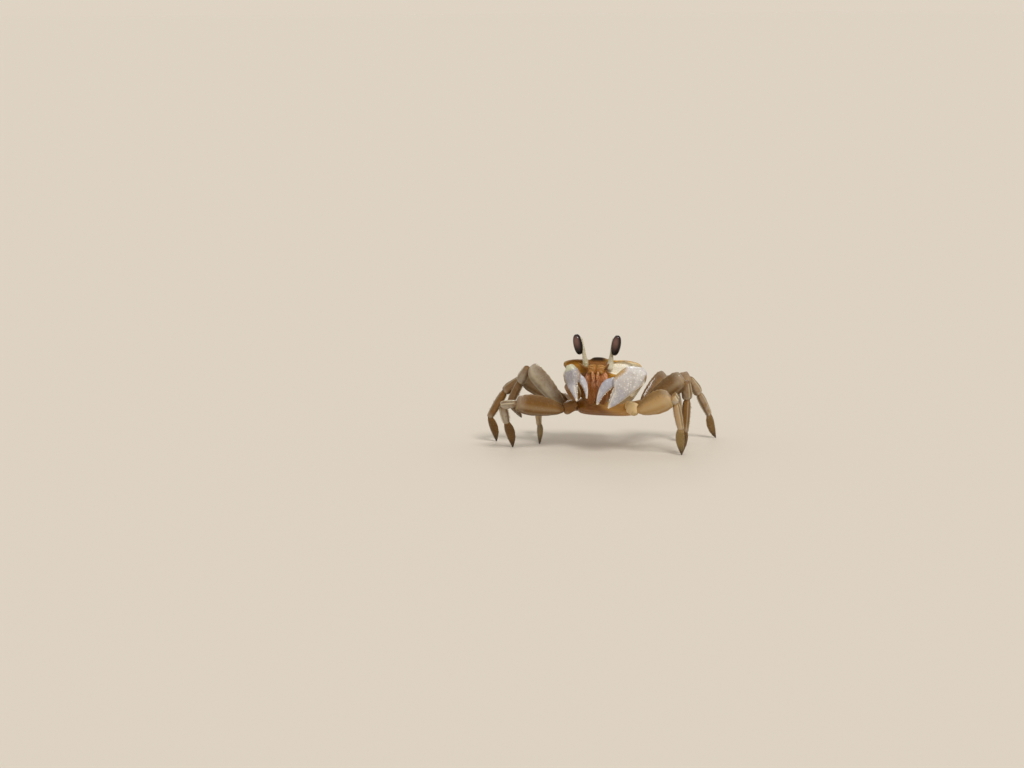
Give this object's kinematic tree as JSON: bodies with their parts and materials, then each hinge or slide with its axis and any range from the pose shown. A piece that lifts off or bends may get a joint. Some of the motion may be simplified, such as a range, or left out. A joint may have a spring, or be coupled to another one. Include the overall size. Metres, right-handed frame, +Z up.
{
  "type": "ghost crab",
  "caption": "Young ghost crab standing on its walking legs, nose up, one claw larger than the other held before the mouth, tall dark eyes on stalks, still life-size model",
  "frame": {"origin": "On the floor, below the middle of the bounding box. The toes rest on the plane Z = 0.", "axes": "+Z up; the crab faces -Y; +X is the crab's own left."},
  "size_m": [0.0686, 0.0506, 0.0377],
  "materials": {
    "shell": "thin chitin, finely granular, sandy grey with a yellowish edge and a darker brown front",
    "belly": "smooth translucent chitin, amber brown",
    "mouth": "hairy chitin plates, orange brown",
    "stalk": "smooth pale translucent chitin",
    "eye": "polished compound eye, very dark brown",
    "feeler": "thin jointed chitin",
    "arm": "pale yellowish translucent chitin",
    "claw": "pearly bluish white, finely granular chitin",
    "leg": "translucent olive brown chitin with pale joints",
    "toe": "translucent dark brown chitin"
  },
  "bodies": {
    "root": {"carapace": "shell", "sternum": "belly", "abdomen": "belly", "mouthpart_left": "mouth", "eyestalk_left": "stalk", "eye_left": "eye", "antenna_left": "feeler", "arm_left": "arm", "wrist_left": "arm", "palm_left": "claw", "finger_left": "claw", "leg_left_1_hip": "leg", "leg_left_1_merus": "leg", "leg_left_1_carpus": "leg", "leg_left_1_propodus": "leg", "leg_left_1_dactyl": "toe", "leg_left_2_hip": "leg", "leg_left_2_merus": "leg", "leg_left_2_carpus": "leg", "leg_left_2_propodus": "leg", "leg_left_2_dactyl": "toe", "leg_left_3_hip": "leg", "leg_left_3_merus": "leg", "leg_left_3_carpus": "leg", "leg_left_3_propodus": "leg", "leg_left_3_dactyl": "toe", "leg_left_4_hip": "leg", "leg_left_4_merus": "leg", "leg_left_4_carpus": "leg", "leg_left_4_propodus": "leg", "leg_left_4_dactyl": "toe", "mouthpart_right": "mouth", "eyestalk_right": "stalk", "eye_right": "eye", "antenna_right": "feeler", "arm_right": "arm", "wrist_right": "arm", "palm_right": "claw", "finger_right": "claw", "leg_right_1_hip": "leg", "leg_right_1_merus": "leg", "leg_right_1_carpus": "leg", "leg_right_1_propodus": "leg", "leg_right_1_dactyl": "toe", "leg_right_2_hip": "leg", "leg_right_2_merus": "leg", "leg_right_2_carpus": "leg", "leg_right_2_propodus": "leg", "leg_right_2_dactyl": "toe", "leg_right_3_hip": "leg", "leg_right_3_merus": "leg", "leg_right_3_carpus": "leg", "leg_right_3_propodus": "leg", "leg_right_3_dactyl": "toe", "leg_right_4_hip": "leg", "leg_right_4_merus": "leg", "leg_right_4_carpus": "leg", "leg_right_4_propodus": "leg", "leg_right_4_dactyl": "toe"}
  },
  "joints": []
}
